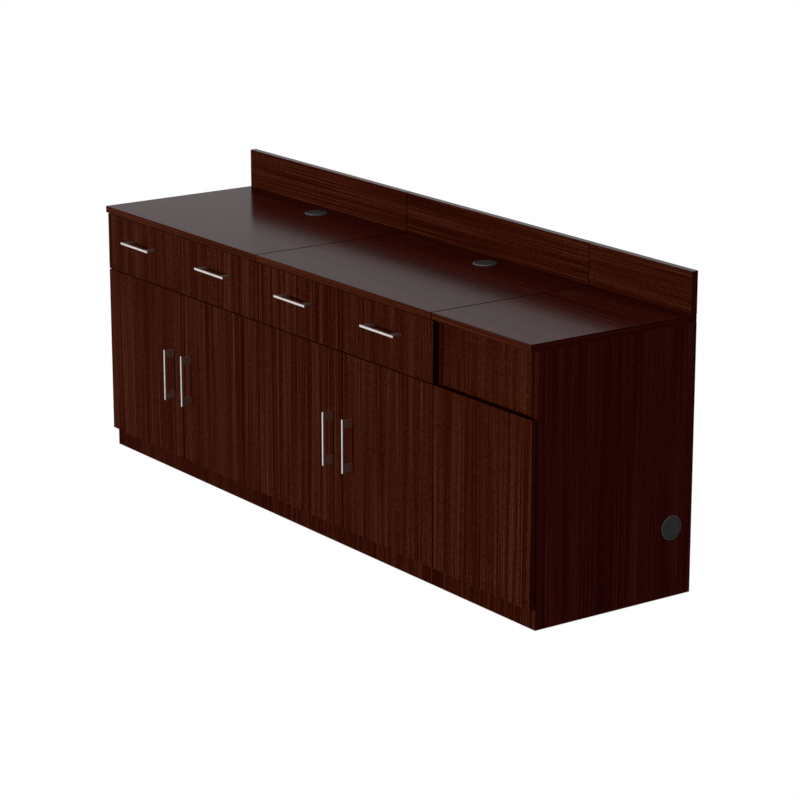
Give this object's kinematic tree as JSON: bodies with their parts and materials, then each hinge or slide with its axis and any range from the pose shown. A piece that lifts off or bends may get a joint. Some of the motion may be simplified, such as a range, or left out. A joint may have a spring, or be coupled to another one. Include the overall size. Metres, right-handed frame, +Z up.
{
  "type": "office credenza",
  "caption": "Long laminate storage credenza with worktop and splash, drawers over hinged doors with bar pulls, and an end waste cabinet with a push-in flap.",
  "frame": {"origin": "middle of the bounding box's base, on the floor", "axes": "+X along the run to the right, +Y to the back, +Z up"},
  "size_m": [2.2894, 0.6282, 0.956],
  "materials": {
    "front_laminate": "dark mahogany laminate, upright grain, satin",
    "carcass_laminate": "dark mahogany laminate, upright grain, satin",
    "worktop_laminate": "dark mahogany laminate, grain along the run, low sheen",
    "drawer_box": "dark laminated board, matt",
    "satin_metal": "satin nickel",
    "zinc_steel": "zinc plated",
    "dark_plastic": "dark grey moulded"
  },
  "bodies": {
    "cabinet": {"left_side_left": "carcass_laminate", "left_side_right": "carcass_laminate", "left_deck": "carcass_laminate", "left_drawer_deck": "carcass_laminate", "left_shelf": "carcass_laminate", "left_back": "carcass_laminate", "left_kick": "front_laminate", "left_worktop": "worktop_laminate", "left_splash": "worktop_laminate", "left_drawer_divider": "carcass_laminate", "left_drawer_slides": "zinc_steel", "left_hinges_left": "zinc_steel", "left_hinges_right": "zinc_steel", "left_grommet": "dark_plastic", "middle_side_left": "carcass_laminate", "middle_side_right": "carcass_laminate", "middle_deck": "carcass_laminate", "middle_drawer_deck": "carcass_laminate", "middle_shelf": "carcass_laminate", "middle_back": "carcass_laminate", "middle_kick": "front_laminate", "middle_worktop": "worktop_laminate", "middle_splash": "worktop_laminate", "middle_drawer_divider": "carcass_laminate", "middle_drawer_slides": "zinc_steel", "middle_hinges_left": "zinc_steel", "middle_hinges_right": "zinc_steel", "middle_grommet": "dark_plastic", "waste_side_left": "carcass_laminate", "waste_side_right": "carcass_laminate", "waste_deck": "carcass_laminate", "waste_rail": "carcass_laminate", "waste_back": "carcass_laminate", "waste_kick": "front_laminate", "waste_worktop": "worktop_laminate", "waste_splash": "worktop_laminate", "waste_hinges": "zinc_steel", "waste_grommet": "dark_plastic"},
    "left_drawer_left": {"left_drawer_front_left": "front_laminate", "left_drawer_box_left": "drawer_box", "left_drawer_pull_left": "satin_metal"},
    "left_drawer_right": {"left_drawer_front_right": "front_laminate", "left_drawer_box_right": "drawer_box", "left_drawer_pull_right": "satin_metal"},
    "left_door_left": {"left_door_left": "front_laminate", "left_door_pull_left": "satin_metal"},
    "left_door_right": {"left_door_right": "front_laminate", "left_door_pull_right": "satin_metal"},
    "middle_drawer_left": {"middle_drawer_front_left": "front_laminate", "middle_drawer_box_left": "drawer_box", "middle_drawer_pull_left": "satin_metal"},
    "middle_drawer_right": {"middle_drawer_front_right": "front_laminate", "middle_drawer_box_right": "drawer_box", "middle_drawer_pull_right": "satin_metal"},
    "middle_door_left": {"middle_door_left": "front_laminate", "middle_door_pull_left": "satin_metal"},
    "middle_door_right": {"middle_door_right": "front_laminate", "middle_door_pull_right": "satin_metal"},
    "waste_door": {"waste_door": "front_laminate"},
    "waste_flap": {"waste_flap": "front_laminate"}
  },
  "joints": [
    {"name": "left_drawer_left_slide", "type": "slide", "parent": "cabinet", "child": "left_drawer_left", "axis": [0, -1, 0], "range_m": [0, 0.4]},
    {"name": "left_drawer_right_slide", "type": "slide", "parent": "cabinet", "child": "left_drawer_right", "axis": [0, -1, 0], "range_m": [0, 0.4]},
    {"name": "left_door_left_hinge", "type": "hinge", "parent": "cabinet", "child": "left_door_left", "pos_m": [-1.14025, -0.2734, 0.338], "axis": [0, 0, -1], "range_deg": [0, 110]},
    {"name": "left_door_right_hinge", "type": "hinge", "parent": "cabinet", "child": "left_door_right", "pos_m": [-0.23485, -0.2734, 0.338], "axis": [0, 0, 1], "range_deg": [0, 84]},
    {"name": "middle_drawer_left_slide", "type": "slide", "parent": "cabinet", "child": "middle_drawer_left", "axis": [0, -1, 0], "range_m": [0, 0.4]},
    {"name": "middle_drawer_right_slide", "type": "slide", "parent": "cabinet", "child": "middle_drawer_right", "axis": [0, -1, 0], "range_m": [0, 0.4]},
    {"name": "middle_door_left_hinge", "type": "hinge", "parent": "cabinet", "child": "middle_door_left", "pos_m": [-0.22585, -0.2734, 0.338], "axis": [0, 0, -1], "range_deg": [0, 84]},
    {"name": "middle_door_right_hinge", "type": "hinge", "parent": "cabinet", "child": "middle_door_right", "pos_m": [0.67955, -0.2734, 0.338], "axis": [0, 0, 1], "range_deg": [0, 110]},
    {"name": "waste_door_hinge", "type": "hinge", "parent": "cabinet", "child": "waste_door", "pos_m": [1.13825, -0.2734, 0.338], "axis": [0, 0, 1], "range_deg": [0, 110]},
    {"name": "waste_flap_pivot", "type": "hinge", "parent": "cabinet", "child": "waste_flap", "pos_m": [0.91265, -0.2469, 0.788], "axis": [1, 0, 0], "range_deg": [0, 75]}
  ]
}
